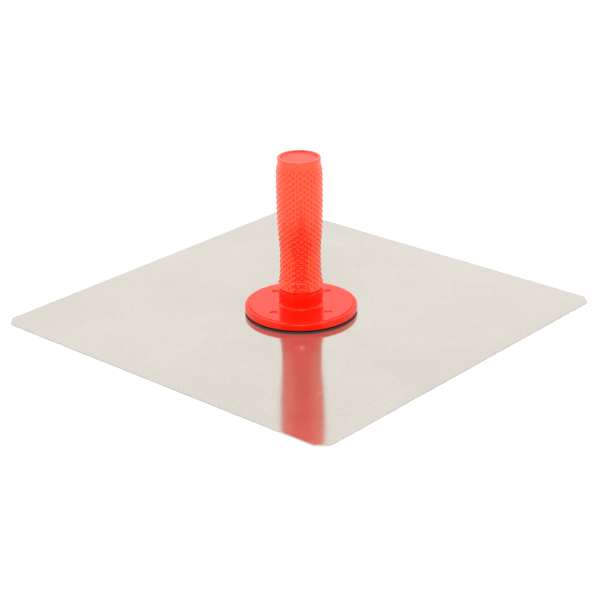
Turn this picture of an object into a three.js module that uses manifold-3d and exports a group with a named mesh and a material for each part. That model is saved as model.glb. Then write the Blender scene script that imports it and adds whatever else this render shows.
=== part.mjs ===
// Mortar hawk: a square aluminium plate with a screwed-on red handle.
// Millimetres, +Z up. The origin is the centre of the plate's working face, which
// faces down and is the plane z = 0. The handle stands up along +Z, and the
// plate's edges run along X and Y.

import * as THREE from 'three';
import { mergeVertices } from 'three/addons/utils/BufferGeometryUtils.js';
import Module from 'manifold-3d';

// ---- Driving dimensions ----------------------------------------------------

const ROUND_STEPS = 56;          // facets round the larger turned shapes
const SMALL_STEPS = 32;          // facets round holes and fasteners
const ARC_STEPS = 5;             // facets along a quarter round
const CLEARANCE = 0.3;           // gap between pieces that slide over each other

const PLATE_SIDE = 330;
const PLATE_THICKNESS = 1;
const PLATE_CORNER_CUT = 8;      // length cut off each edge at a clipped corner

const PAD_RADIUS = 43.7;
const PAD_THICKNESS = 1.5;
const PAD_HOLE_RADIUS = 11.5;

const FLANGE_RADIUS = 44.35;
const FLANGE_HEIGHT = 5.5;
const FLANGE_TOP_RADIUS = 41;    // raised flat, inside the sloping border
const FLANGE_STEP = 0.35;        // drop from the raised flat to the border
const FLANGE_BORDER_DROP = 0.4;  // fall of the border before its edge rounds over
const FLANGE_EDGE_ROUND = 1.4;
const CREASE_WIDTH = 0.15;       // the step down leans out by this much

const RECESS_COUNT = 4;
const RECESS_RADIUS = 3;
const RECESS_DEPTH = 0.7;
const RECESS_CIRCLE_RADIUS = 29.5;
const RECESS_TURN_DEGREES = -4;

const HUB_RADIUS = 17.4;
const HUB_FILLET = 2;
const HUB_TOP_Z = 20.6;
const GROOVE_RADIUS = 15.9;      // the narrow neck between the hub and the sleeve
const SLEEVE_FOOT_Z = 21.7;

const CORE_RADIUS = 12.6;        // tube inside the sleeve
const CORE_BORE_RADIUS = 9.8;
const CORE_TOP_Z = 125.2;
const WEB_TOP_Z = 18;            // floor of the core's bore, where the nut is tightened

const SLEEVE_TOP_Z = 128.3;
const SLEEVE_RIM_RADIUS = 14.1;  // mouth of the sleeve, round the end plug
const SLEEVE_EDGE_ROUND = 0.7;
// Height above the working face and outer radius, over the bumps, from foot to top.
const SLEEVE_OUTLINE = [
  [22.5, 17.7], [26, 17.55], [29.5, 16.85], [34, 16.5], [41, 16.25], [51, 16.2],
  [58, 16.55], [66, 17.2], [76, 17.8], [88, 18.15], [102, 18.3], [117, 18.2],
  [122, 17.5], [124.5, 16.8],
];

const PLUG_HEAD_RADIUS = 13.8;
const PLUG_HEAD_THICKNESS = 2.3;
const PLUG_STEM_LENGTH = 12;
const PLUG_STEM_WALL = 1.6;

const BOLT_RADIUS = 3.9;
const BOLT_LENGTH = 30;
const BOLT_HEAD_RADIUS = 8;
const BOLT_HEAD_HEIGHT = 4.1;    // ninety degree cone from the rim to the shank
const BOLT_RIM = 0.4;            // straight rim round the head
const BOLT_SINK = 0.2;           // how far the head lies below the working face
const SOCKET_ACROSS_FLATS = 5;
const SOCKET_DEPTH = 2.7;

const HOLE_RADIUS = 4.2;         // clearance hole for the bolt
const WASHER_RADIUS = 8;
const WASHER_THICKNESS = 1.6;
const NUT_ACROSS_FLATS = 13;
const NUT_HEIGHT = 8;
const NUT_RING_RADIUS = 5.4;
const NUT_RING_HEIGHT = 2;
const NUT_LIP = 0.5;             // metal turned in over the nylon ring

// ---- Materials -------------------------------------------------------------

const aluminium = new THREE.MeshStandardMaterial({ color: 0xd8d4cd, roughness: 0.3, metalness: 1 });
const blackRubber = new THREE.MeshStandardMaterial({ color: 0x16110f, roughness: 0.8, metalness: 0 });
const redPlastic = new THREE.MeshStandardMaterial({ color: 0xe8210c, roughness: 0.18, metalness: 0 });
const redRubber = new THREE.MeshStandardMaterial({ color: 0xee2a10, roughness: 0.35, metalness: 0 });
const redCap = new THREE.MeshStandardMaterial({ color: 0xdf2a12, roughness: 0.4, metalness: 0 });
const steel = new THREE.MeshStandardMaterial({ color: 0xb9bcc0, roughness: 0.35, metalness: 1 });
const nylon = new THREE.MeshStandardMaterial({ color: 0xe9e4d4, roughness: 0.5, metalness: 0 });

// ---- Solids and booleans ---------------------------------------------------

const wasm = await Module();
wasm.setup();

/** Turn a closed three.js geometry into a solid for cutting and joining. */
function solid(geometry) {
  const bare = geometry.clone();
  bare.deleteAttribute('normal');
  bare.deleteAttribute('uv');
  const merged = mergeVertices(bare, 1e-4);
  return new wasm.Manifold(new wasm.Mesh({
    numProp: 3,
    vertProperties: new Float32Array(merged.attributes.position.array),
    triVerts: new Uint32Array(merged.index.array),
  }));
}

/** Turn a solid back into a three.js geometry. */
function geometryOf(body) {
  const mesh = body.getMesh();
  const geometry = new THREE.BufferGeometry();
  geometry.setAttribute('position', new THREE.BufferAttribute(mesh.vertProperties, 3));
  geometry.setIndex(new THREE.BufferAttribute(mesh.triVerts, 1));
  geometry.computeVertexNormals();
  return geometry;
}

/** Spin [radius, z] points round Z. The points run up the outside of the shape. */
function turned(points, steps) {
  const profile = points.map(([radius, z]) => new THREE.Vector2(radius, z));
  const geometry = new THREE.LatheGeometry(profile, steps);
  geometry.rotateX(Math.PI / 2);
  return geometry;
}

/** A plain cylinder standing on the height `foot`. */
function post(radius, foot, top, steps = SMALL_STEPS) {
  return turned([[0, foot], [radius, foot], [radius, top], [0, top]], steps);
}

/** A ring of rectangular section. */
function ring(innerRadius, outerRadius, foot, top, steps = SMALL_STEPS) {
  const section = [
    [innerRadius, foot], [outerRadius, foot], [outerRadius, top], [innerRadius, top], [innerRadius, foot],
  ];
  return turned(section, steps);
}

/** A six-sided prism standing on the height `foot`, with flats facing along X. */
function hexPrism(acrossFlats, foot, top) {
  const outline = new THREE.Shape();
  for (let corner = 0; corner < 6; corner += 1) {
    const angle = Math.PI / 6 + corner * Math.PI / 3;
    const reach = acrossFlats / Math.sqrt(3);
    const step = corner === 0 ? 'moveTo' : 'lineTo';
    outline[step](reach * Math.cos(angle), reach * Math.sin(angle));
  }
  outline.closePath();
  const geometry = new THREE.ExtrudeGeometry(outline, { depth: top - foot, bevelEnabled: false });
  geometry.translate(0, 0, foot);
  return geometry;
}

/** Points of a quarter round, from its start angle through ninety degrees. */
function quarterRound(centreRadius, centreZ, radius, startDegrees) {
  const points = [];
  for (let step = 0; step <= ARC_STEPS; step += 1) {
    const angle = THREE.MathUtils.degToRad(startDegrees + 90 * step / ARC_STEPS);
    points.push([centreRadius + radius * Math.cos(angle), centreZ + radius * Math.sin(angle)]);
  }
  return points;
}

// ---- Heights that follow from the stack ------------------------------------

const padTopZ = PLATE_THICKNESS + PAD_THICKNESS;
const flangeTopZ = padTopZ + FLANGE_HEIGHT;
const washerTopZ = WEB_TOP_Z + WASHER_THICKNESS;
const nutTopZ = washerTopZ + NUT_HEIGHT;
const headTopZ = BOLT_SINK + BOLT_RIM + BOLT_HEAD_HEIGHT;
// The dimple's cone runs beside the bolt head's cone, one clearance away.
const dimpleMouthRadius = BOLT_HEAD_RADIUS + BOLT_RIM + CLEARANCE;

// ---- Plate -----------------------------------------------------------------

/** Square plate with clipped corners, and a pressed dimple that hides the bolt head. */
function makePlate() {
  const half = PLATE_SIDE / 2;
  const cut = half - PLATE_CORNER_CUT;
  const outline = new THREE.Shape();
  outline.moveTo(cut, -half);
  outline.lineTo(half, -cut);
  outline.lineTo(half, cut);
  outline.lineTo(cut, half);
  outline.lineTo(-cut, half);
  outline.lineTo(-half, cut);
  outline.lineTo(-half, -cut);
  outline.lineTo(-cut, -half);
  outline.closePath();
  const sheet = new THREE.ExtrudeGeometry(outline, { depth: PLATE_THICKNESS, bevelEnabled: false });

  const wall = PLATE_THICKNESS;
  const coneTop = dimpleMouthRadius - HOLE_RADIUS;
  const outerFoot = dimpleMouthRadius + wall;
  const bulge = turned([
    [0, 0], [outerFoot, 0], [outerFoot, wall], [HOLE_RADIUS + wall, coneTop + 0.6], [0, coneTop + 0.6],
  ], SMALL_STEPS);
  const hollow = turned([
    [0, -1], [dimpleMouthRadius, -1], [dimpleMouthRadius, 0], [HOLE_RADIUS, coneTop],
    [HOLE_RADIUS, coneTop + 2], [0, coneTop + 2],
  ], SMALL_STEPS);
  return geometryOf(solid(sheet).add(solid(bulge)).subtract(solid(hollow)));
}

/** Thin rubber disc that the flange is pulled down on. */
function makePad() {
  return ring(PAD_HOLE_RADIUS, PAD_RADIUS, PLATE_THICKNESS, padTopZ, ROUND_STEPS);
}

// ---- Handle ----------------------------------------------------------------

/** Flange, hub and core tube in one moulding, with a web for the bolt. */
function makeBase() {
  const borderZ = flangeTopZ - FLANGE_STEP;
  const edgeZ = borderZ - FLANGE_BORDER_DROP - FLANGE_EDGE_ROUND;
  const edge = quarterRound(FLANGE_RADIUS - FLANGE_EDGE_ROUND, edgeZ, FLANGE_EDGE_ROUND, 0);
  const foot = quarterRound(HUB_RADIUS + HUB_FILLET, flangeTopZ + HUB_FILLET, HUB_FILLET, 180).reverse();
  const body = solid(turned([
    [0, padTopZ],
    [FLANGE_RADIUS, padTopZ],
    ...edge,
    [FLANGE_TOP_RADIUS + CREASE_WIDTH, borderZ],
    [FLANGE_TOP_RADIUS, flangeTopZ],
    ...foot,
    [HUB_RADIUS, HUB_TOP_Z],
    [GROOVE_RADIUS, HUB_TOP_Z],
    [GROOVE_RADIUS, SLEEVE_FOOT_Z],
    [CORE_RADIUS, SLEEVE_FOOT_Z],
    [CORE_RADIUS, CORE_TOP_Z],
    [0, CORE_TOP_Z],
  ], ROUND_STEPS));

  const bore = solid(post(CORE_BORE_RADIUS, WEB_TOP_Z, CORE_TOP_Z + 1, ROUND_STEPS));
  const boltHole = solid(post(HOLE_RADIUS, padTopZ - 1, WEB_TOP_Z + 1));
  // Room under the web for the plate's dimple.
  const pocketRadius = PAD_HOLE_RADIUS - 1;
  const pocketTopZ = dimpleMouthRadius - HOLE_RADIUS + 1.2;
  const pocket = solid(post(pocketRadius, padTopZ - 1, pocketTopZ));
  let moulding = body.subtract(bore).subtract(boltHole).subtract(pocket);

  for (let index = 0; index < RECESS_COUNT; index += 1) {
    const angle = THREE.MathUtils.degToRad(RECESS_TURN_DEGREES + index * 360 / RECESS_COUNT);
    const cutter = post(RECESS_RADIUS, flangeTopZ - RECESS_DEPTH, flangeTopZ + 1);
    cutter.translate(RECESS_CIRCLE_RADIUS * Math.cos(angle), RECESS_CIRCLE_RADIUS * Math.sin(angle), 0);
    moulding = moulding.subtract(solid(cutter));
  }
  return geometryOf(moulding);
}

/** Soft waisted sleeve over the core, open at both ends. */
function makeSleeve() {
  const bore = CORE_RADIUS + CLEARANCE;
  const [, footRadius] = SLEEVE_OUTLINE[0];
  const [, topRadius] = SLEEVE_OUTLINE[SLEEVE_OUTLINE.length - 1];
  return turned([
    [bore, SLEEVE_FOOT_Z],
    [footRadius - SLEEVE_EDGE_ROUND, SLEEVE_FOOT_Z],
    ...SLEEVE_OUTLINE.map(([z, radius]) => [radius, z]),
    [topRadius, SLEEVE_TOP_Z - SLEEVE_EDGE_ROUND],
    [topRadius - SLEEVE_EDGE_ROUND, SLEEVE_TOP_Z],
    [SLEEVE_RIM_RADIUS, SLEEVE_TOP_Z],
    [SLEEVE_RIM_RADIUS, CORE_TOP_Z],
    [bore, CORE_TOP_Z],
    [bore, SLEEVE_FOOT_Z],
  ], ROUND_STEPS);
}

/** Plug that closes the core: a disc on the core's end, and a hollow stem in its bore. */
function makePlug() {
  const stemRadius = CORE_BORE_RADIUS - CLEARANCE;
  const stemFootZ = CORE_TOP_Z - PLUG_STEM_LENGTH;
  const stemBore = stemRadius - PLUG_STEM_WALL;
  const headTop = CORE_TOP_Z + PLUG_HEAD_THICKNESS;
  return turned([
    [0, CORE_TOP_Z],
    [stemBore, CORE_TOP_Z],
    [stemBore, stemFootZ],
    [stemRadius, stemFootZ],
    [stemRadius, CORE_TOP_Z],
    [PLUG_HEAD_RADIUS, CORE_TOP_Z],
    [PLUG_HEAD_RADIUS, headTop - 0.4],
    [PLUG_HEAD_RADIUS - 0.4, headTop],
    [0, headTop],
  ], ROUND_STEPS);
}

// ---- Fasteners -------------------------------------------------------------

/** Countersunk bolt with a hexagon socket, head down in the plate's dimple. */
function makeBolt() {
  const body = solid(turned([
    [0, BOLT_SINK],
    [BOLT_HEAD_RADIUS, BOLT_SINK],
    [BOLT_HEAD_RADIUS, BOLT_SINK + BOLT_RIM],
    [BOLT_RADIUS, headTopZ],
    [BOLT_RADIUS, BOLT_SINK + BOLT_LENGTH - 0.8],
    [BOLT_RADIUS - 0.8, BOLT_SINK + BOLT_LENGTH],
    [0, BOLT_SINK + BOLT_LENGTH],
  ], SMALL_STEPS));
  const socket = hexPrism(SOCKET_ACROSS_FLATS, -1, BOLT_SINK + SOCKET_DEPTH);
  return geometryOf(body.subtract(solid(socket)));
}

/** Plain washer on the web inside the core. */
function makeWasher() {
  return ring(HOLE_RADIUS, WASHER_RADIUS, WEB_TOP_Z, washerTopZ);
}

/** Hexagon lock nut, with a counterbore in its top for the nylon ring. */
function makeNut() {
  const body = solid(hexPrism(NUT_ACROSS_FLATS, washerTopZ, nutTopZ));
  const hole = solid(post(HOLE_RADIUS, washerTopZ - 1, nutTopZ + 1));
  const seat = solid(post(NUT_RING_RADIUS, nutTopZ - NUT_LIP - NUT_RING_HEIGHT, nutTopZ + 1));
  return geometryOf(body.subtract(hole).subtract(seat));
}

/** Nylon ring that grips the bolt's thread. */
function makeNutRing() {
  const foot = nutTopZ - NUT_LIP - NUT_RING_HEIGHT;
  return ring(HOLE_RADIUS, NUT_RING_RADIUS - CLEARANCE, foot, foot + NUT_RING_HEIGHT);
}

// ---- Assembly --------------------------------------------------------------

function part(name, geometry, material) {
  const mesh = new THREE.Mesh(geometry, material);
  mesh.name = name;
  return mesh;
}

const hawk = new THREE.Group();
hawk.add(
  part('hawk_plate', makePlate(), aluminium),
  part('base_pad', makePad(), blackRubber),
  part('handle_base', makeBase(), redPlastic),
  part('grip_sleeve', makeSleeve(), redRubber),
  part('end_plug', makePlug(), redCap),
  part('centre_bolt', makeBolt(), steel),
  part('flat_washer', makeWasher(), steel),
  part('lock_nut', makeNut(), steel),
  part('nut_ring', makeNutRing(), nylon),
);

export default hawk;
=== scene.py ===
from math import acos, atan2, cos, hypot, pi, radians, sin, sqrt, tan

import bmesh
import bpy
from mathutils import Matrix, Vector


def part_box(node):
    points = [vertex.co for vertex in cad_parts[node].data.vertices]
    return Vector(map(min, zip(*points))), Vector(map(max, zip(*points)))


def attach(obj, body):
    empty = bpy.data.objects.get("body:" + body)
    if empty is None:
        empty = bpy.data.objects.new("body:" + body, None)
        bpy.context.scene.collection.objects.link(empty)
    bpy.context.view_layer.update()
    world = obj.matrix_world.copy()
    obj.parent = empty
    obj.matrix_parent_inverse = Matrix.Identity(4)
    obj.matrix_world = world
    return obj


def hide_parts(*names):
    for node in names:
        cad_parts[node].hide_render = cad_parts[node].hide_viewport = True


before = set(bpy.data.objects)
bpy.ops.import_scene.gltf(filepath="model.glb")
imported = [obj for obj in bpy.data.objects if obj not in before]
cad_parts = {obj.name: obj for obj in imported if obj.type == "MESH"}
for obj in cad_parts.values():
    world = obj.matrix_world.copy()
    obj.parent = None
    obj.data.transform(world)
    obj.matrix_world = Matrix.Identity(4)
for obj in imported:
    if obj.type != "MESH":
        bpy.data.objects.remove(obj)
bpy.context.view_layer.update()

# Mortar hawk, in metres, in the frame of the CAD model: the origin is the centre
# of the plate's working face, and +Z runs up the handle.

MM = 0.001

# ---- Places from the CAD model ----------------------------------------------

_, PLATE_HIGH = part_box("hawk_plate")     # its highest point is the top of the dimple
PAD_LOW, PAD_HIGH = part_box("base_pad")
BASE_LOW, BASE_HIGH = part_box("handle_base")
SLEEVE_LOW, SLEEVE_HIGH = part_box("grip_sleeve")
PLUG_LOW, PLUG_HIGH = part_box("end_plug")
BOLT_LOW, BOLT_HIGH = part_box("centre_bolt")
WASHER_LOW, WASHER_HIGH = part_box("flat_washer")
NUT_LOW, NUT_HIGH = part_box("lock_nut")
RING_LOW, RING_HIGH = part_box("nut_ring")
PLUG_SEAT_Z = BASE_HIGH.z        # the plug's head rests on the core's end
WEB_TOP_Z = WASHER_LOW.z         # the washer lies on the web inside the core

# ---- Sizes of the detail ----------------------------------------------------

ROUND_STEPS = 192
SMALL_STEPS = 96
RECESS_STEPS = 48
ARC_STEPS = 6
GUARD = 0.015 * MM               # a last point past each arc, so flat faces shade flat

PLATE_CORNER_CUT = 8 * MM
PLATE_CORNER_ROUND = 4 * MM
PLATE_EDGE_ROUND = 0.25 * MM
PLATE_SIDE_POINTS = 30

DIMPLE_MOUTH_RADIUS = 8.7 * MM
DIMPLE_MARGIN = 20 * MM          # flat plate meshed in rings round the dimple
BOLT_HOLE_RADIUS = 4.2 * MM

PAD_HOLE_RADIUS = 11.5 * MM
PAD_HOLE_ROUND = 0.2 * MM
PAD_RIM_ROUND = 0.45 * MM

FLANGE_HEIGHT = 5.5 * MM
FLANGE_TOP_RADIUS = 41 * MM
FLANGE_STEP = 0.35 * MM
CREASE_WIDTH = 0.15 * MM
CREASE_DEPTH = 0.4 * MM
CREASE_FLOOR = 0.3 * MM          # widths of the crease at its floor and its mouth
CREASE_MOUTH = 0.5 * MM
FLANGE_BORDER_DROP = 0.4 * MM
FLANGE_EDGE_ROUND = 1.4 * MM
RECESS_COUNT = 4
RECESS_RADIUS = 3 * MM
RECESS_DEPTH = 0.7 * MM
RECESS_FLARE = 0.25 * MM
RECESS_CIRCLE_RADIUS = 29.5 * MM
RECESS_TURN = radians(-4)
HUB_RADIUS = 17.4 * MM
HUB_FILLET = 2 * MM
HUB_TOP_Z = 20.6 * MM
GROOVE_RADIUS = 15.9 * MM
CORE_RADIUS = 12.6 * MM
CORE_BORE_RADIUS = 9.8 * MM
POCKET_RADIUS = 10.5 * MM
POCKET_ROOM = 0.6 * MM           # above the top of the plate's dimple
CLEARANCE = 0.3 * MM
AXIS_RADIUS = 0.2 * MM           # solid turned shapes end in a flat cap of this radius

BUMP_COLUMNS = 38
BUMP_ROWS = 22
BUMP_PITCH = 4.34 * MM
BUMP_FIRST_Z = 27.2 * MM
BUMP_HEIGHT = 0.7 * MM
BUMP_RADIUS = 0.88 * MM
BUMP_TURN = radians(215.46)
STEPS_PER_COLUMN = 8
STEPS_PER_ROW = 12
SLEEVE_RIM_RADIUS = 14.1 * MM
SLEEVE_RIM_CHAMFER = 0.3 * MM
# Height in millimetres and radius between the bumps, from foot to top.
SLEEVE_OUTLINE = (
    (22.4, 17.5), (24.5, 17.3), (26, 17.0), (29.5, 16.15), (34, 15.8), (41, 15.55), (51, 15.5),
    (58, 15.85), (66, 16.5), (76, 17.1), (88, 17.45), (102, 17.6), (114, 17.5), (121, 17.1),
    (124, 16.8), (127.6, 16.75),
)

PLUG_WALL = 1.6 * MM
PLUG_RIM = 2 * MM
PLUG_DISH = 0.15 * MM

SOCKET_FLATS = 5 * MM
SOCKET_DEPTH = 2.7 * MM
SOCKET_CHAMFER = 1.2 * MM
HEAD_RIM = 0.4 * MM
SHANK_RADIUS = 3.9 * MM
PLAIN_SHANK = 4 * MM
THREAD_PITCH = 1.25 * MM
THREAD_DEPTH = 0.45 * MM
BOLT_POINT = 0.9 * MM

NUT_FLATS = 13 * MM
NUT_FOOT_CHAMFER = 0.6 * MM
NUT_COLLAR_FOOT = 2.6 * MM       # below the top of the nut
NUT_COLLAR_TOP = 1.9 * MM
NUT_BORE_CHAMFER = 1.5 * MM
OVERCUT = 1 * MM                 # how far a cutter reaches past the face it cuts


# ---- Mesh tools -------------------------------------------------------------

def object_from(name, points, faces):
    """A mesh object, with its faces turned outwards."""
    mesh = bpy.data.meshes.new(name)
    mesh.from_pydata(points, [], faces)
    work = bmesh.new()
    work.from_mesh(mesh)
    bmesh.ops.remove_doubles(work, verts=work.verts, dist=1e-7)
    bmesh.ops.recalc_face_normals(work, faces=work.faces)
    work.to_mesh(mesh)
    work.free()
    piece = bpy.data.objects.new(name, mesh)
    bpy.context.scene.collection.objects.link(piece)
    return piece


def smooth(piece, angle=32):
    """Smooth shading, with edges sharper than the angle kept as edges."""
    piece.data.shade_smooth()
    piece.data.set_sharp_from_angle(angle=radians(angle))
    return piece


def stitched(name, loops, closed):
    """A surface through loops of equally many points. Closed joins the last loop to the
    first; otherwise the first and last loops are filled in."""
    count = len(loops[0])
    points = [point for loop in loops for point in loop]
    faces = []
    pairs = len(loops) if closed else len(loops) - 1
    for row in range(pairs):
        here = row * count
        there = (row + 1) % len(loops) * count
        for step in range(count):
            following = (step + 1) % count
            faces.append((here + step, here + following, there + following, there + step))
    if not closed:
        faces.append(tuple(range(count)))
        faces.append(tuple(range(len(points) - count, len(points))))
    return object_from(name, points, faces)


def circle(radius, z, steps, start=0):
    """Points round the axis at one height, from a starting angle."""
    angles = [start + 2 * pi * k / steps for k in range(steps)]
    return [(radius * cos(angle), radius * sin(angle), z) for angle in angles]


def spread(start, end, count):
    """Evenly spaced values from start to end, both included."""
    return [start + (end - start) * k / (count - 1) for k in range(count)]


def turned(name, outline, steps=ROUND_STEPS, closed=True):
    """A shape turned round Z from (radius, height) points."""
    return stitched(name, [circle(radius, z, steps) for radius, z in outline], closed)


def rounded(corners):
    """Points of a closed outline from (radius, height, round) corners, each corner an arc."""
    points = []
    count = len(corners)
    for index, (x, z, size) in enumerate(corners):
        here = Vector((x, z))
        if size == 0:
            points.append((x, z))
            continue
        before = (Vector(corners[index - 1][:2]) - here).normalized()
        after = (Vector(corners[(index + 1) % count][:2]) - here).normalized()
        half = acos(max(-1, min(1, before.dot(after)))) / 2
        reach = size / tan(half)
        centre = here + (before + after).normalized() * (size / sin(half))
        start = here + before * reach - centre
        sweep = start.angle_signed(here + after * reach - centre)
        points.append(tuple(here + before * (reach + GUARD)))
        for step in range(ARC_STEPS + 1):
            turn = Matrix.Rotation(-sweep * step / ARC_STEPS, 2)
            points.append(tuple(centre + turn @ start))
        points.append(tuple(here + after * (reach + GUARD)))
    return points


def carve(piece, cutter, operation="DIFFERENCE"):
    """Boolean cut, applied, with the cutter removed."""
    change = piece.modifiers.new("carve", "BOOLEAN")
    change.operation = operation
    change.solver = "EXACT"
    change.object = cutter
    bpy.context.view_layer.update()
    cut = piece.evaluated_get(bpy.context.evaluated_depsgraph_get())
    result = bpy.data.meshes.new_from_object(cut)
    piece.modifiers.clear()
    piece.data = result
    bpy.data.objects.remove(cutter)
    return piece


def hexagon(flats, z):
    """Corners of a hexagon from its width across flats."""
    return circle(flats / sqrt(3), z, 6, pi / 6)


def through_knots(knots, x):
    """Smooth curve through (x, y) knots, as cubic pieces with matching slopes."""
    x = max(knots[0][0], min(knots[-1][0], x))
    slopes = []
    for index in range(len(knots)):
        left = knots[max(index - 1, 0)]
        right = knots[min(index + 1, len(knots) - 1)]
        slopes.append((right[1] - left[1]) / (right[0] - left[0]))
    for index in range(len(knots) - 1):
        (x0, y0), (x1, y1) = knots[index], knots[index + 1]
        if x <= x1:
            span = x1 - x0
            t = (x - x0) / span
            return (
                (2 * t**3 - 3 * t**2 + 1) * y0 + (t**3 - 2 * t**2 + t) * span * slopes[index]
                + (3 * t**2 - 2 * t**3) * y1 + (t**3 - t**2) * span * slopes[index + 1]
            )
    return knots[-1][1]


# ---- Materials --------------------------------------------------------------

# The two reds that the mottle runs between, and the tint of their highlights.
RED_DARK = (0.9, 0.006, 0.001)
RED_LIGHT = (0.98, 0.01, 0.002)
RED_SHEEN = (1, 0.85, 0.45, 1)


class Paint:
    """A node material in the making: a Principled shader and short calls for its inputs."""

    def __init__(self, name):
        self.material = bpy.data.materials.new(name)
        self.material.use_nodes = True
        self.nodes = self.material.node_tree.nodes
        self.links = self.material.node_tree.links
        self.shader = self.nodes["Principled BSDF"]
        self.place = self.nodes.new("ShaderNodeTexCoord").outputs["Object"]
        self.height = None

    def set(self, **values):
        for name, value in values.items():
            self.shader.inputs[name.replace("_", " ")].default_value = value

    def join(self, source, target):
        self.links.new(source, target)

    def stretched(self, scale):
        """Object coordinates scaled by (x, y, z)."""
        node = self.nodes.new("ShaderNodeMapping")
        node.inputs["Scale"].default_value = scale
        self.join(self.place, node.inputs["Vector"])
        return node.outputs["Vector"]

    def noise(self, scale, detail=4, roughness=0.55, vector=None):
        node = self.nodes.new("ShaderNodeTexNoise")
        node.inputs["Scale"].default_value = scale
        node.inputs["Detail"].default_value = detail
        node.inputs["Roughness"].default_value = roughness
        self.join(vector or self.place, node.inputs["Vector"])
        return node.outputs["Fac"]

    def cells(self, scale, vector=None, randomness=1.0):
        node = self.nodes.new("ShaderNodeTexVoronoi")
        node.inputs["Scale"].default_value = scale
        node.inputs["Randomness"].default_value = randomness
        self.join(vector or self.place, node.inputs["Vector"])
        return node.outputs["Distance"]

    def ramp(self, value, low, high, to_low=0.0, to_high=1.0):
        """Map low..high of a value to to_low..to_high, smoothly, and hold it outside."""
        node = self.nodes.new("ShaderNodeMapRange")
        node.interpolation_type = "SMOOTHSTEP"
        node.inputs["From Min"].default_value = low
        node.inputs["From Max"].default_value = high
        node.inputs["To Min"].default_value = to_low
        node.inputs["To Max"].default_value = to_high
        self.join(value, node.inputs["Value"])
        return node.outputs["Result"]

    def math(self, operation, first, second):
        node = self.nodes.new("ShaderNodeMath")
        node.operation = operation
        for socket, value in zip(node.inputs, (first, second)):
            if isinstance(value, (int, float)):
                socket.default_value = value
            else:
                self.join(value, socket)
        return node.outputs["Value"]

    def mix(self, factor, first, second):
        node = self.nodes.new("ShaderNodeMix")
        node.data_type = "RGBA"
        self.join(factor, node.inputs[0])
        for socket, colour in ((node.inputs[6], first), (node.inputs[7], second)):
            if isinstance(colour, tuple):
                socket.default_value = (*colour, 1)
            else:
                self.join(colour, socket)
        return node.outputs[2]

    def bump(self, height, distance, strength=1.0):
        """Add a bump in metres on top of those already there."""
        node = self.nodes.new("ShaderNodeBump")
        node.inputs["Strength"].default_value = strength
        node.inputs["Distance"].default_value = distance
        self.join(height, node.inputs["Height"])
        if self.height:
            self.join(self.height, node.inputs["Normal"])
        self.height = node.outputs["Normal"]

    def done(self, colour=None, roughness=None):
        if colour:
            self.join(colour, self.shader.inputs["Base Color"])
        if roughness:
            self.join(roughness, self.shader.inputs["Roughness"])
        if self.height:
            self.join(self.height, self.shader.inputs["Normal"])
        return self.material


def plate_metal():
    """Bare rolled aluminium: fine grain, cloudy oxide, and faint scuffs from stacking."""
    paint = Paint("rolled_aluminium")
    paint.set(Metallic=0.88, IOR=1.45)
    grain = paint.noise(900, 3, 0.6, paint.stretched((1, 0.12, 1)))
    speckle = paint.noise(650, 2, 0.7)
    cloud = paint.noise(9, 5, 0.6)
    scuffs = paint.ramp(paint.noise(26, 8, 0.72, paint.stretched((1.0, 2.6, 1))), 0.56, 0.72)
    tone = paint.mix(paint.ramp(cloud, 0.3, 0.7), (0.575, 0.555, 0.51), (0.615, 0.595, 0.555))
    tone = paint.mix(paint.ramp(speckle, 0.35, 0.75, 0, 0.35), tone, (0.49, 0.475, 0.44))
    tone = paint.mix(paint.math("MULTIPLY", scuffs, 0.35), tone, (0.67, 0.655, 0.62))
    dulled = paint.math("MULTIPLY", scuffs, 0.08)
    rough = paint.math("ADD", paint.ramp(cloud, 0.3, 0.7, 0.085, 0.115), dulled)
    rough = paint.math("ADD", rough, paint.ramp(grain, 0.3, 0.7, -0.015, 0.025))
    paint.bump(grain, 0.000004)
    paint.bump(speckle, 0.000005)
    return paint.done(tone, rough)


def pad_rubber():
    """Black rubber: matt, with a finely pitted skin, and painted shade darkening the floor of
    each pit.
    """
    paint = Paint("black_rubber")
    paint.set(Specular_IOR_Level=0.1)
    pits = paint.cells(1900)
    cloud = paint.noise(60, 4)
    tone = paint.mix(paint.ramp(cloud, 0.3, 0.7), (0.006, 0.004, 0.0035), (0.012, 0.009, 0.008))
    # painted shade: the pits' floors are painted darker than the rubber round them
    tone = paint.mix(paint.ramp(pits, 0.0, 0.35), (0.003, 0.002, 0.002), tone)
    paint.bump(pits, 0.00006)
    return paint.done(tone, paint.ramp(cloud, 0.3, 0.7, 0.72, 0.9))


def handle_plastic():
    """Glossy red moulding: a slight flow mottle, a fine orange peel, and a dulled bloom."""
    paint = Paint("red_gloss_plastic")
    paint.set(Specular_IOR_Level=0.42, Specular_Tint=RED_SHEEN)
    flow = paint.noise(38, 4, 0.55, paint.stretched((1, 1, 2.5)))
    peel = paint.noise(420, 2, 0.5)
    smears = paint.ramp(paint.noise(70, 6, 0.7), 0.5, 0.75)
    tone = paint.mix(paint.ramp(flow, 0.3, 0.7), RED_DARK, RED_LIGHT)
    dulled = paint.math("MULTIPLY", smears, 0.08)
    rough = paint.math("ADD", paint.ramp(flow, 0.3, 0.7, 0.13, 0.19), dulled)
    paint.bump(peel, 0.000015)
    return paint.done(tone, rough)


def grip_rubber():
    """Soft red rubber: a satin skin with a very fine moulded texture."""
    paint = Paint("red_soft_rubber")
    paint.set(IOR=1.8, Specular_IOR_Level=0.7, Specular_Tint=RED_SHEEN)
    cloud = paint.noise(45, 4)
    skin = paint.noise(1500, 3, 0.6)
    tone = paint.mix(paint.ramp(cloud, 0.3, 0.7), RED_DARK, RED_LIGHT)
    paint.bump(skin, 0.00002)
    return paint.done(tone, paint.ramp(skin, 0.3, 0.7, 0.17, 0.25))


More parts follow.
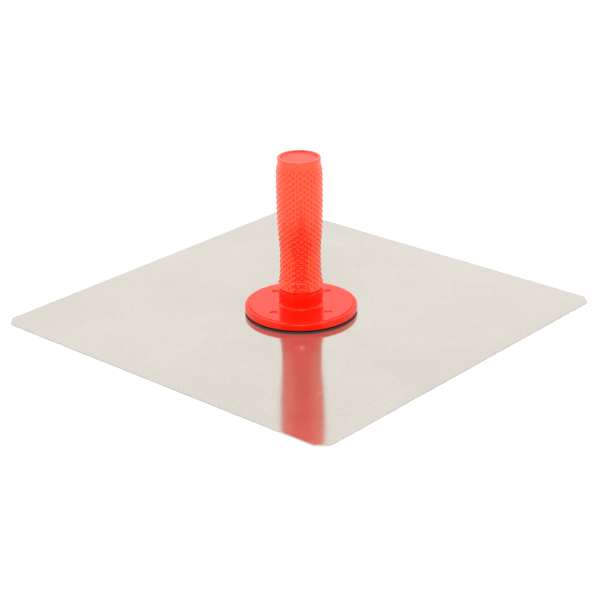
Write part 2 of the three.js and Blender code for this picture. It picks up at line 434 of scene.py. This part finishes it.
def cap_plastic():
    """Red plug: satin, with faint turning rings left by its mould."""
    paint = Paint("red_satin_plastic")
    paint.set(Specular_IOR_Level=0.5)
    cloud = paint.noise(90, 4)
    skin = paint.noise(1300, 3, 0.6)
    rings = paint.nodes.new("ShaderNodeTexWave")
    rings.wave_type = "RINGS"
    rings.rings_direction = "Z"
    rings.inputs["Scale"].default_value = 260
    rings.inputs["Distortion"].default_value = 0.3
    paint.join(paint.place, rings.inputs["Vector"])
    tone = paint.mix(paint.ramp(cloud, 0.3, 0.7), (0.84, 0.03, 0.012), (0.92, 0.045, 0.02))
    paint.bump(rings.outputs["Fac"], 0.000012)
    paint.bump(skin, 0.000015)
    return paint.done(tone, paint.ramp(cloud, 0.3, 0.7, 0.3, 0.4))


def fastener_steel():
    """Zinc-plated steel: bright, slightly mottled, with fine tool marks."""
    paint = Paint("zinc_plated_steel")
    paint.set(Metallic=1.0)
    marks = paint.noise(1500, 3, 0.6, paint.stretched((1, 1, 0.08)))
    cloud = paint.noise(160, 5, 0.65)
    tone = paint.mix(paint.ramp(cloud, 0.3, 0.7), (0.55, 0.56, 0.58), (0.72, 0.72, 0.72))
    paint.bump(marks, 0.00001)
    return paint.done(tone, paint.ramp(cloud, 0.3, 0.7, 0.22, 0.38))


def nut_nylon():
    """Natural nylon: milky, with a soft mottle."""
    paint = Paint("natural_nylon")
    paint.set(Subsurface_Weight=0.2, Subsurface_Scale=0.001)
    cloud = paint.noise(300, 4)
    tone = paint.mix(paint.ramp(cloud, 0.3, 0.7), (0.78, 0.74, 0.62), (0.86, 0.84, 0.75))
    paint.bump(cloud, 0.00002)
    return paint.done(tone, paint.ramp(cloud, 0.3, 0.7, 0.4, 0.55))


def floor_paint():
    """Plain pale studio floor."""
    paint = Paint("studio_floor")
    paint.set(Base_Color=(0.94, 0.94, 0.95, 1), Roughness=0.9, Specular_IOR_Level=0.1)
    return paint.done()


# ---- Pieces -----------------------------------------------------------------

def plate_outline(inset, z):
    """The plate's outline, with clipped corners whose ends are rounded, moved in by inset."""
    half = PLATE_HIGH.x - inset
    cut = PLATE_CORNER_CUT - (2 - sqrt(2)) * inset
    turn = PLATE_CORNER_ROUND - inset
    reach = turn * tan(pi / 8)
    end = half - cut - reach
    side = [(half, y) for y in spread(-end, end, PLATE_SIDE_POINTS)]
    arcs = []
    for middle_x, middle_y, first in ((half - turn, end, 0), (end, half - turn, pi / 4)):
        for step in range(1, ARC_STEPS + 1):
            angle = first + pi / 4 * step / ARC_STEPS
            arcs.append((middle_x + turn * cos(angle), middle_y + turn * sin(angle)))
    points = []
    for corner in range(4):
        for x, y in side + arcs[:-1]:
            quarter = Matrix.Rotation(corner * pi / 2, 2) @ Vector((x, y))
            points.append((quarter.x, quarter.y, z))
    return points


def plate():
    """Thin plate with softened edges, and the pressed dimple for the bolt head."""
    top = PAD_LOW.z
    aims = [atan2(y, x) for x, y, _ in plate_outline(0, 0)]

    def ring_at(radius, z):
        return [(radius * cos(aim), radius * sin(aim), z) for aim in aims]

    cone_top = DIMPLE_MOUTH_RADIUS - BOLT_HOLE_RADIUS
    margin = DIMPLE_MOUTH_RADIUS + DIMPLE_MARGIN
    dimple = rounded([
        (BOLT_HOLE_RADIUS, PLATE_HIGH.z, 0.2 * MM),
        (BOLT_HOLE_RADIUS, cone_top, 0.15 * MM),
        (DIMPLE_MOUTH_RADIUS, 0, 0.3 * MM),
        (margin, 0, 0),
        (margin, top, 0),
        (DIMPLE_MOUTH_RADIUS + top, top, 1 * MM),
        (BOLT_HOLE_RADIUS + top, PLATE_HIGH.z, 0.5 * MM),
    ])
    split = dimple.index((margin, 0))
    edge = [(PLATE_EDGE_ROUND + GUARD, 0)]
    for step in range(ARC_STEPS + 1):
        angle = pi / 2 * step / ARC_STEPS
        edge.append((PLATE_EDGE_ROUND * (1 - sin(angle)), PLATE_EDGE_ROUND * (1 - cos(angle))))
    loops = [ring_at(*point) for point in dimple[:split + 1]]
    loops += [plate_outline(inset, rise) for inset, rise in edge]
    loops += [plate_outline(inset, top - rise) for inset, rise in reversed(edge)]
    loops += [ring_at(*point) for point in dimple[split + 1:]]
    return smooth(stitched("plate", loops, closed=True), 25)


def pad():
    """Flat rubber ring with rounded edges."""
    low, high = PAD_LOW.z, PAD_HIGH.z
    return smooth(turned("pad", rounded([
        (PAD_HOLE_RADIUS, low, PAD_HOLE_ROUND),
        (PAD_HIGH.x, low, PAD_RIM_ROUND),
        (PAD_HIGH.x, high, PAD_RIM_ROUND),
        (PAD_HOLE_RADIUS, high, PAD_HOLE_ROUND),
    ])), 50)


def base():
    """Flange, hub and core tube in one moulding."""
    foot = BASE_LOW.z
    flange_top = foot + FLANGE_HEIGHT
    outer = BASE_HIGH.x
    border_z = flange_top - FLANGE_STEP
    crease = FLANGE_TOP_RADIUS + CREASE_WIDTH
    pocket_top = PLATE_HIGH.z + POCKET_ROOM
    outline = rounded([
        (POCKET_RADIUS, foot, 0.2 * MM),
        (outer, foot, 0.25 * MM),
        (outer, border_z - FLANGE_BORDER_DROP, FLANGE_EDGE_ROUND),
        (crease + CREASE_MOUTH, border_z - 0.02 * MM, 0.06 * MM),
        (crease + CREASE_FLOOR, border_z - CREASE_DEPTH, 0.06 * MM),
        (crease, border_z - CREASE_DEPTH, 0.04 * MM),
        (FLANGE_TOP_RADIUS, flange_top, 0.12 * MM),
        (HUB_RADIUS, flange_top, HUB_FILLET),
        (HUB_RADIUS, HUB_TOP_Z, 0.5 * MM),
        (GROOVE_RADIUS, HUB_TOP_Z, 0.2 * MM),
        (GROOVE_RADIUS, SLEEVE_LOW.z, 0),
        (CORE_RADIUS, SLEEVE_LOW.z, 0.2 * MM),
        (CORE_RADIUS, BASE_HIGH.z, 0.4 * MM),
        (CORE_BORE_RADIUS, BASE_HIGH.z, 0.4 * MM),
        (CORE_BORE_RADIUS, WEB_TOP_Z, 0.6 * MM),
        (BOLT_HOLE_RADIUS, WEB_TOP_Z, 0.2 * MM),
        (BOLT_HOLE_RADIUS, pocket_top, 0.2 * MM),
        (POCKET_RADIUS, pocket_top, 0.4 * MM),
    ])
    moulding = turned("base", outline)
    for centre in circle(RECESS_CIRCLE_RADIUS, 0, RECESS_COUNT, RECESS_TURN):
        carve(moulding, recess_cutter(flange_top, centre))
    return smooth(moulding, 28)


def recess_cutter(flange_top, centre):
    """Cutter for one round recess: a flat floor, and a mouth flared at 45 degrees."""
    floor = flange_top - RECESS_DEPTH
    cutter = turned("cutter", rounded([
        (AXIS_RADIUS, flange_top + OVERCUT, 0),
        (AXIS_RADIUS, floor, 0),
        (RECESS_RADIUS, floor, 0.35 * MM),
        (RECESS_RADIUS, flange_top - RECESS_FLARE, 0),
        (RECESS_RADIUS + RECESS_FLARE + OVERCUT, flange_top + OVERCUT, 0),
    ]), RECESS_STEPS, closed=False)
    cutter.data.transform(Matrix.Translation(centre))
    return cutter


def bump_height(column, row_z):
    """How far the surface stands out at a place given in columns and metres."""
    nearest = round(column)
    stagger = (nearest % 2) * BUMP_PITCH / 2
    rows = BUMP_ROWS + nearest % 2
    first = BUMP_FIRST_Z - stagger
    row = max(0, min(rows - 1, round((row_z - first) / BUMP_PITCH)))
    radius = through_knots(SLEEVE_OUTLINE, row_z / MM) * MM
    across = (column - nearest) * 2 * pi * radius / BUMP_COLUMNS
    along = row_z - (first + row * BUMP_PITCH)
    reach = hypot(across, along) / BUMP_RADIUS
    return BUMP_HEIGHT * max(0, 1 - reach * reach)


def sleeve():
    """Soft sleeve with staggered round bumps, a smooth band at its top and an open mouth."""
    foot, top = SLEEVE_LOW.z, SLEEVE_HIGH.z
    bore = CORE_RADIUS + CLEARANCE
    knots = SLEEVE_OUTLINE
    count = BUMP_COLUMNS * STEPS_PER_COLUMN
    start, end = knots[0][0] * MM, knots[-1][0] * MM
    rows = round((end - start) / BUMP_PITCH * STEPS_PER_ROW)

    def ring_at(radius, z):
        return circle(radius, z, count, BUMP_TURN)

    loops = []
    first_radius = knots[0][1] * MM
    last_radius = knots[-1][1] * MM
    foot_round = start - foot
    top_round = top - end
    for step in range(ARC_STEPS):
        angle = pi / 2 * step / ARC_STEPS
        inset = foot_round * (1 - sin(angle))
        loops.append(ring_at(first_radius - inset, start - foot_round * cos(angle)))
    for z in spread(start, end, rows + 1):
        radius = through_knots(knots, z / MM) * MM
        loop = []
        for k in range(count):
            reach = radius + bump_height(k / STEPS_PER_COLUMN, z)
            angle = BUMP_TURN + 2 * pi * k / count
            loop.append((reach * cos(angle), reach * sin(angle), z))
        loops.append(loop)
    for step in range(1, ARC_STEPS + 1):
        angle = pi / 2 * step / ARC_STEPS
        inset = top_round * (1 - cos(angle))
        loops.append(ring_at(last_radius - inset, end + top_round * sin(angle)))
    loops.append(ring_at(SLEEVE_RIM_RADIUS + SLEEVE_RIM_CHAMFER, top))
    loops.append(ring_at(SLEEVE_RIM_RADIUS, top - SLEEVE_RIM_CHAMFER))
    loops.append(ring_at(SLEEVE_RIM_RADIUS, PLUG_SEAT_Z))
    loops.append(ring_at(bore, PLUG_SEAT_Z))
    loops.append(ring_at(bore, foot))
    return smooth(stitched("grip", loops, closed=True), 50)


def plug():
    """End plug: a shallow dished disc with a rounded edge, on a hollow stem."""
    radius = PLUG_HIGH.x
    top = PLUG_HIGH.z
    dish = top - PLUG_DISH
    stem = CORE_BORE_RADIUS - CLEARANCE
    hollow = stem - PLUG_WALL
    hollow_top = PLUG_SEAT_Z + 0.2 * MM
    outline = rounded([
        (AXIS_RADIUS, hollow_top, 0),
        (hollow, hollow_top, 0.3 * MM),
        (hollow, PLUG_LOW.z, 0.3 * MM),
        (stem, PLUG_LOW.z, 0.4 * MM),
        (stem, PLUG_SEAT_Z, 0),
        (radius, PLUG_SEAT_Z, 0.2 * MM),
        (radius, top, 0.5 * MM),
        (radius - PLUG_RIM, top, 0.3 * MM),
        (radius - PLUG_RIM - 0.3 * MM, dish, 0.3 * MM),
        (AXIS_RADIUS, dish, 0),
    ])
    return smooth(turned("plug", outline, closed=False), 32)


def bolt():
    """Countersunk bolt with a hexagon socket and a rolled thread."""
    low, high = BOLT_LOW.z, BOLT_HIGH.z
    head = BOLT_HIGH.x
    cone_top = low + HEAD_RIM + head - SHANK_RADIUS
    thread_foot = cone_top + PLAIN_SHANK
    root = SHANK_RADIUS - THREAD_DEPTH
    outline = rounded([
        (AXIS_RADIUS, low, 0),
        (head, low, 0.15 * MM),
        (head, low + HEAD_RIM, 0.1 * MM),
        (SHANK_RADIUS, cone_top, 0.6 * MM),
        (SHANK_RADIUS, thread_foot, 0),
    ])
    z = thread_foot
    while z < high - 2 * THREAD_PITCH:
        outline.append((root, z + 0.4 * THREAD_PITCH))
        outline.append((SHANK_RADIUS, z + 0.85 * THREAD_PITCH))
        outline.append((SHANK_RADIUS, z + THREAD_PITCH))
        z += THREAD_PITCH
    outline.append((SHANK_RADIUS - BOLT_POINT, high))
    outline.append((AXIS_RADIUS, high))
    piece = turned("bolt", outline, SMALL_STEPS, closed=False)
    socket_floor = low + SOCKET_DEPTH
    socket = stitched("cutter", [
        hexagon(SOCKET_FLATS + 2 * SOCKET_CHAMFER, low - OVERCUT),
        hexagon(SOCKET_FLATS, low + 0.2 * MM),
        hexagon(SOCKET_FLATS, socket_floor),
        hexagon(2 * AXIS_RADIUS, socket_floor + OVERCUT),
    ], closed=False)
    return smooth(carve(piece, socket), 30)


def washer():
    """Punched washer: one edge rolled over by the punch, the other crisp."""
    low, high = WASHER_LOW.z, WASHER_HIGH.z
    return smooth(turned("washer", rounded([
        (BOLT_HOLE_RADIUS, low, 0.1 * MM),
        (WASHER_HIGH.x, low, 0.1 * MM),
        (WASHER_HIGH.x, high, 0.45 * MM),
        (BOLT_HOLE_RADIUS, high, 0.3 * MM),
    ]), SMALL_STEPS), 35)


def nut():
    """Lock nut: a chamfered hexagon, with a collar turned in over the nylon ring."""
    low, high = NUT_LOW.z, NUT_HIGH.z
    corner = NUT_FLATS / sqrt(3)
    flat = NUT_FLATS / 2
    ring_room = RING_HIGH.x + CLEARANCE
    hexagonal = stitched("nut", [hexagon(NUT_FLATS, low), hexagon(NUT_FLATS, high)], closed=False)
    envelope = turned("cutter", [
        (AXIS_RADIUS, low),
        (flat - 0.2 * MM, low),
        (corner + 0.1 * MM, low + NUT_FOOT_CHAMFER),
        (corner + 0.1 * MM, high - NUT_COLLAR_FOOT),
        (flat - 0.3 * MM, high - NUT_COLLAR_TOP),
        (flat - 0.5 * MM, high - 0.5 * MM),
        (flat - 1.0 * MM, high),
        (AXIS_RADIUS, high),
    ], SMALL_STEPS, closed=False)
    carve(hexagonal, envelope, "INTERSECT")
    hole = turned("cutter", [
        (AXIS_RADIUS, low - OVERCUT),
        (BOLT_HOLE_RADIUS + NUT_BORE_CHAMFER, low - OVERCUT),
        (BOLT_HOLE_RADIUS, low + 0.5 * MM),
        (BOLT_HOLE_RADIUS, RING_LOW.z),
        (ring_room, RING_LOW.z),
        (ring_room, high + OVERCUT),
        (AXIS_RADIUS, high + OVERCUT),
    ], SMALL_STEPS, closed=False)
    return smooth(carve(hexagonal, hole), 30)


def nylon_ring():
    """Plain ring that grips the bolt's thread."""
    low, high = RING_LOW.z, RING_HIGH.z
    return smooth(turned("nylon", rounded([
        (BOLT_HOLE_RADIUS, low, 0.2 * MM),
        (RING_HIGH.x, low, 0.2 * MM),
        (RING_HIGH.x, high, 0.4 * MM),
        (BOLT_HOLE_RADIUS, high, 0.4 * MM),
    ]), SMALL_STEPS), 35)


# What makes each piece, its CAD node, its material and its slot.
PIECES = (
    (plate, "hawk_plate", plate_metal, "plate_metal"),
    (pad, "base_pad", pad_rubber, "pad_rubber"),
    (base, "handle_base", handle_plastic, "handle_plastic"),
    (sleeve, "grip_sleeve", grip_rubber, "grip_rubber"),
    (plug, "end_plug", cap_plastic, "cap_plastic"),
    (bolt, "centre_bolt", fastener_steel, "fastener_steel"),
    (washer, "flat_washer", fastener_steel, "fastener_steel"),
    (nut, "lock_nut", fastener_steel, "fastener_steel"),
    (nylon_ring, "nut_ring", nut_nylon, "nut_nylon"),
)


def build_pieces():
    """Make every piece, paint it, and set it in its CAD node's place."""
    finished = {}
    for make, node, finish, slot in PIECES:
        if finish not in finished:
            finished[finish] = finish()
        piece = make()
        piece.name = node + "_detail"
        piece.data.materials.clear()
        piece.data.materials.append(finished[finish])
        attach(piece, "root")
        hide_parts(node)


# ---- Studio -----------------------------------------------------------------

CAMERA_AZIMUTH = radians(-48.24)
CAMERA_ELEVATION = radians(23.206)
CAMERA_ROLL = radians(-0.868)
CAMERA_DISTANCE = 1387.7 * MM
CAMERA_TARGET = Vector((15.84 * MM, 15.25 * MM, 0))
CAMERA_LENS = 103.75
SENSOR = 36
MIDDLE = Vector((0, 0, 0.05))    # what the lights aim at
SKY_STRENGTH = 0.1
FLOOR_SIZE = 28
FLOOR_DROP = 0.2 * MM            # below the plate, so that the two faces don't flicker
WARM = (1, 0.985, 0.95)
CREAM = (1, 0.97, 0.92)
AMBER = (1, 0.96, 0.88)
WHITE = (1, 1, 1)

# Name, azimuth from the camera's and elevation in degrees, distance, width and height in
# metres, radiance, colour.
SOFTBOXES = (
    ("back_softbox", 180, 32, 2.6, 4.4, 3.2, 1.1, WARM),
    ("left_softbox", -88, 17, 2.6, 5.4, 1.3, 1.5, CREAM),
    ("right_softbox", 88, 17, 2.6, 5.4, 1.3, 1.5, AMBER),
    ("top_softbox", 180, 84, 2.6, 3.2, 3.2, 1.1, WHITE),
    ("front_softbox", 0, 62, 2.2, 0.6, 0.6, 9, WHITE),
)
FRONT_FILL = ("front_fill", 0, 35, 3, 2, 1.5, 6.5, WHITE)


def direction(azimuth, elevation):
    """Unit vector towards a camera at that azimuth, as the views use it."""
    return Vector((
        sin(azimuth) * cos(elevation), -cos(azimuth) * cos(elevation), sin(elevation)))


def camera():
    """The camera, rolled a little about its own axis."""
    data = bpy.data.cameras.new("camera")
    data.lens = CAMERA_LENS
    data.sensor_width = SENSOR
    data.clip_end = 100
    eye = bpy.data.objects.new("camera", data)
    bpy.context.scene.collection.objects.link(eye)
    back = direction(CAMERA_AZIMUTH, CAMERA_ELEVATION)
    level_right = Vector((cos(CAMERA_AZIMUTH), sin(CAMERA_AZIMUTH), 0))
    level_up = back.cross(level_right)
    right = cos(CAMERA_ROLL) * level_right + sin(CAMERA_ROLL) * level_up
    up = cos(CAMERA_ROLL) * level_up - sin(CAMERA_ROLL) * level_right
    turn = Matrix((right, up, back)).transposed().to_4x4()
    eye.matrix_world = Matrix.Translation(CAMERA_TARGET + back * CAMERA_DISTANCE) @ turn
    bpy.context.scene.camera = eye


def softbox(name, azimuth, elevation, distance, width, height, radiance, colour):
    """Area light on a dome round the object, at an azimuth measured from the camera's."""
    data = bpy.data.lights.new(name, "AREA")
    data.shape = "RECTANGLE"
    data.size = width
    data.size_y = height
    data.energy = radiance * pi * width * height
    data.color = colour
    lamp = bpy.data.objects.new(name, data)
    bpy.context.scene.collection.objects.link(lamp)
    toward = direction(CAMERA_AZIMUTH + radians(azimuth), radians(elevation))
    lamp.location = MIDDLE + toward * distance
    lamp.rotation_euler = toward.to_track_quat("Z", "Y").to_euler()
    lamp.visible_camera = False
    return lamp


def studio():
    """Pale floor, dim sky, softboxes all round, and a fill light that leaves no highlight."""
    scene = bpy.context.scene
    world = bpy.data.worlds.new("studio")
    scene.world = world
    world.use_nodes = True
    sky = world.node_tree.nodes["Background"]
    sky.inputs["Color"].default_value = (1, 1, 1, 1)
    sky.inputs["Strength"].default_value = SKY_STRENGTH
    for box in SOFTBOXES:
        softbox(*box)
    fill = softbox(*FRONT_FILL)
    fill.visible_glossy = False

    half = FLOOR_SIZE / 2
    corners = ((-half, -half), (half, -half), (half, half), (-half, half))
    floor = object_from("floor", [(x, y, -FLOOR_DROP) for x, y in corners], [(0, 1, 2, 3)])
    floor.data.materials.append(floor_paint())
    scene.view_settings.view_transform = "Standard"


camera()
build_pieces()
studio()
bpy.context.view_layer.update()
